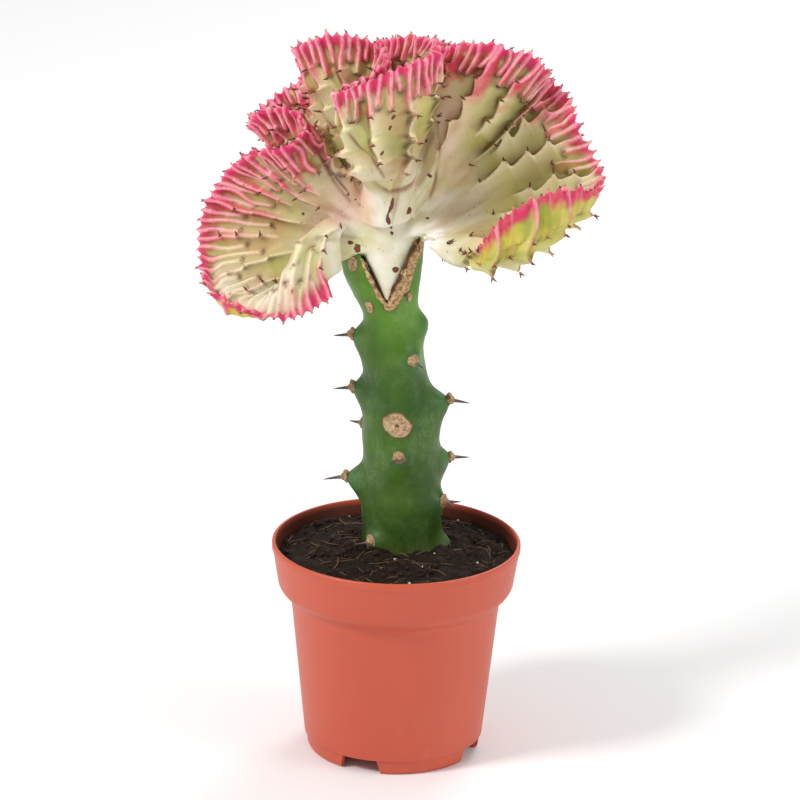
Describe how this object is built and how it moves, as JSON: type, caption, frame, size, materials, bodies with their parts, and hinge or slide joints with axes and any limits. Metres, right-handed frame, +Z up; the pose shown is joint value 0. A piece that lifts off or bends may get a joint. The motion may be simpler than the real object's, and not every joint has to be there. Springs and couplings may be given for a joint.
{
  "type": "potted euphorbia",
  "caption": "Grafted crest euphorbia: a folded, ribbed fan on a thorny green rootstock, standing in potting soil in a tapered plastic nursery pot with a notched foot ring.",
  "frame": {"origin": "centre of the pot's footprint, on the surface that it stands on", "axes": "+Z up along the pot's axis; -Y the side that the plant shows in the picture; +X to the right seen from there"},
  "size_m": [0.1932, 0.12, 0.3618],
  "materials": {
    "pot_plastic": "satin terracotta-coloured plastic",
    "soil": "loose dark potting soil, matt",
    "stem_green": "smooth green plant skin, satin",
    "crest_flesh": "waxy plant skin, satin, cream to olive with pink edges",
    "cork": "dry corky callus, matt"
  },
  "bodies": {
    "root": {"pot": "pot_plastic", "soil": "soil", "rootstock": "stem_green", "crest": "crest_flesh", "callus_front": "cork", "callus_back": "cork"}
  },
  "joints": []
}
